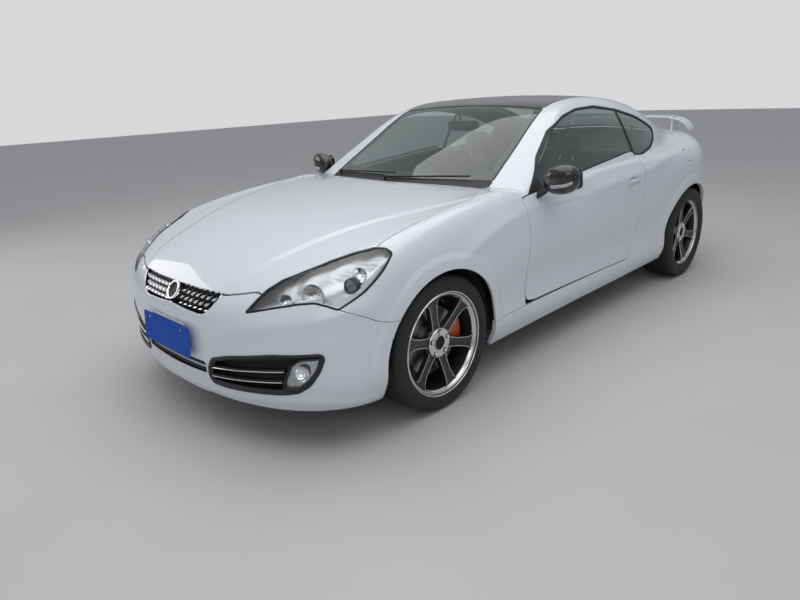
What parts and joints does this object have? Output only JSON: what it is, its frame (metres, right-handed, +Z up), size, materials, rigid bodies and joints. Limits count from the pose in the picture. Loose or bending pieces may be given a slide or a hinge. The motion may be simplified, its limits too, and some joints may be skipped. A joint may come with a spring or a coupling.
{
  "type": "two-door coupe car",
  "caption": "Two-door coupe car with steered front wheels, opening doors, bonnet and boot lid, seats, glazing and alloy wheels.",
  "frame": {"origin": "on the ground, under the middle of the car's length and width", "axes": "+X to the car's left side, -Y to its front, +Z up"},
  "size_m": [2.13, 4.6558, 1.3934],
  "materials": {
    "body_paint": "gloss white",
    "roof_black": "gloss black",
    "glass": "clear, lightly tinted",
    "lamp_lens": "clear",
    "lamp_red": "gloss",
    "dark_trim": "satin",
    "bright_trim": "polished",
    "plate_blue": "satin, blank",
    "tyre_rubber": "matt",
    "wheel_alloy": "gunmetal paint, machined lip",
    "cast_metal": "rough",
    "dark_steel": "matt",
    "bare_steel": "satin",
    "seat_leather": "satin"
  },
  "bodies": {
    "shell": {"front_wings": "body_paint", "roof_rails": "body_paint", "quarter_panels": "body_paint", "side_sills": "body_paint", "front_bumper": "body_paint", "rear_bumper": "body_paint", "roof_panel": "roof_black", "quarter_windows": "glass", "windscreen": "glass", "rear_window": "glass", "head_lamps": "lamp_lens", "tail_lamps": "lamp_red", "fog_lamps": "dark_trim", "grille": "bright_trim", "lower_grille": "dark_trim", "number_plate": "plate_blue", "cowl_panel": "dark_trim", "wipers": "dark_trim", "front_subframe": "dark_steel", "rear_axle": "dark_steel", "underbody": "dark_steel", "wheel_housings": "dark_trim", "engine": "cast_metal", "exhaust": "bare_steel", "dashboard": "dark_trim", "centre_console": "dark_trim", "front_seats": "seat_leather", "rear_seat": "seat_leather", "parcel_shelf": "dark_trim"},
    "upright_left": {"front_upright_left": "cast_metal"},
    "front_wheel_left": {"tyre_front_left": "tyre_rubber", "wheel_front_left": "wheel_alloy"},
    "rear_wheel_left": {"tyre_rear_left": "tyre_rubber", "wheel_rear_left": "wheel_alloy"},
    "door_left_body": {"door_left": "body_paint", "door_glass_left": "glass", "door_mirror_left": "roof_black"},
    "upright_right": {"front_upright_right": "cast_metal"},
    "front_wheel_right": {"tyre_front_right": "tyre_rubber", "wheel_front_right": "wheel_alloy"},
    "rear_wheel_right": {"tyre_rear_right": "tyre_rubber", "wheel_rear_right": "wheel_alloy"},
    "door_right_body": {"door_right": "body_paint", "door_glass_right": "glass", "door_mirror_right": "roof_black"},
    "bonnet_body": {"bonnet": "body_paint"},
    "boot_lid_body": {"boot_lid": "body_paint", "rear_wing": "body_paint"},
    "fuel_flap_body": {"fuel_flap": "body_paint"},
    "steering_wheel_body": {"steering_wheel": "seat_leather"}
  },
  "joints": [
    {"name": "steer_left", "type": "hinge", "parent": "shell", "child": "upright_left", "pos_m": [0.745, -1.43, 0.331], "axis": [0, 0, 1], "range_deg": [-33, 33]},
    {"name": "spin_front_left", "type": "hinge", "parent": "upright_left", "child": "front_wheel_left", "pos_m": [0.8, -1.43, 0.331], "axis": [1, 0, 0], "continuous": true},
    {"name": "spin_rear_left", "type": "hinge", "parent": "shell", "child": "rear_wheel_left", "pos_m": [0.8075, 1.39, 0.339], "axis": [1, 0, 0], "continuous": true},
    {"name": "open_door_left", "type": "hinge", "parent": "shell", "child": "door_left_body", "pos_m": [0.89, -0.7, 0.68], "axis": [0, 0, -1], "range_deg": [0, 65]},
    {"name": "steer_right", "type": "hinge", "parent": "shell", "child": "upright_right", "pos_m": [-0.745, -1.43, 0.331], "axis": [0, 0, 1], "range_deg": [-33, 33]},
    {"name": "spin_front_right", "type": "hinge", "parent": "upright_right", "child": "front_wheel_right", "pos_m": [-0.8, -1.43, 0.331], "axis": [1, 0, 0], "continuous": true},
    {"name": "spin_rear_right", "type": "hinge", "parent": "shell", "child": "rear_wheel_right", "pos_m": [-0.8075, 1.39, 0.339], "axis": [1, 0, 0], "continuous": true},
    {"name": "open_door_right", "type": "hinge", "parent": "shell", "child": "door_right_body", "pos_m": [-0.89, -0.7, 0.68], "axis": [0, 0, 1], "range_deg": [0, 65]},
    {"name": "lift_bonnet", "type": "hinge", "parent": "shell", "child": "bonnet_body", "pos_m": [0, -0.76, 0.926], "axis": [-1, 0, 0], "range_deg": [0, 55]},
    {"name": "lift_boot_lid", "type": "hinge", "parent": "shell", "child": "boot_lid_body", "pos_m": [0, 1.694, 1.092], "axis": [1, 0, 0], "range_deg": [0, 70]},
    {"name": "open_fuel_flap", "type": "hinge", "parent": "shell", "child": "fuel_flap_body", "pos_m": [0.89, 1.2476, 0.925], "axis": [0.62, 0, -0.7846], "range_deg": [0, 80]},
    {"name": "turn_steering_wheel", "type": "hinge", "parent": "shell", "child": "steering_wheel_body", "pos_m": [0.39, -0.33, 0.8], "axis": [0, 0.9135, 0.4067], "range_deg": [-500, 500]}
  ],
  "couplings": [
    {"joint": "steer_right", "follows": "steer_left", "ratio": 1},
    {"joint": "turn_steering_wheel", "follows": "steer_left", "ratio": 15}
  ]
}
